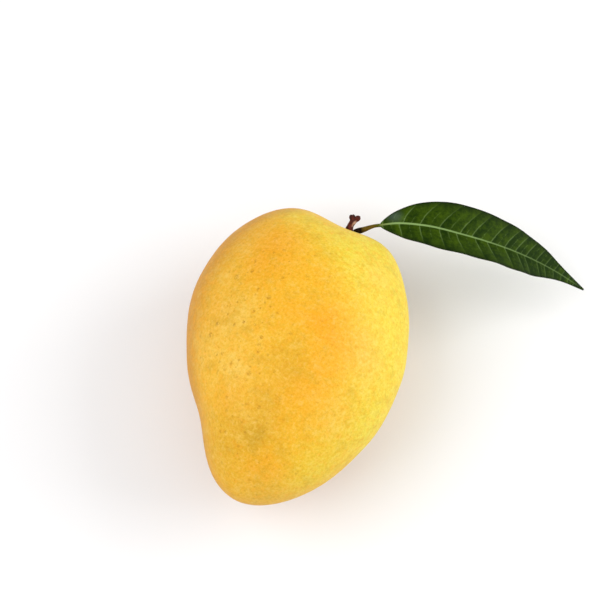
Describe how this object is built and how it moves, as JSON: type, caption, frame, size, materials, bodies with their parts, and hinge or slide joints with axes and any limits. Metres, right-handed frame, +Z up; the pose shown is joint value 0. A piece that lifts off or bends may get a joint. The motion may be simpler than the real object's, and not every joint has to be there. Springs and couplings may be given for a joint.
{
  "type": "mango",
  "caption": "Ripe yellow mango lying on one cheek, with a short forked stem stub and a long pointed leaf.",
  "frame": {"origin": "middle of the small flat resting spot on the lower cheek, on the surface that the fruit lies on", "axes": "+Y runs along the fruit towards the stem, +Z up through the thickness of the fruit, +X across the fruit to the side that the leaf reaches out to"},
  "size_m": [0.1478, 0.1533, 0.0753],
  "materials": {
    "ripe_skin": "ripe mango skin: smooth, satin and waxy, golden yellow with fine pores and a few small brown specks",
    "dry_stem": "dry dark reddish brown bark, wrinkled and dull",
    "leaf_green": "leathery dark green leaf with a satin upper face and pale midrib and side veins"
  },
  "bodies": {
    "root": {"fruit": "ripe_skin", "stem": "dry_stem", "leaf": "leaf_green"}
  },
  "joints": []
}
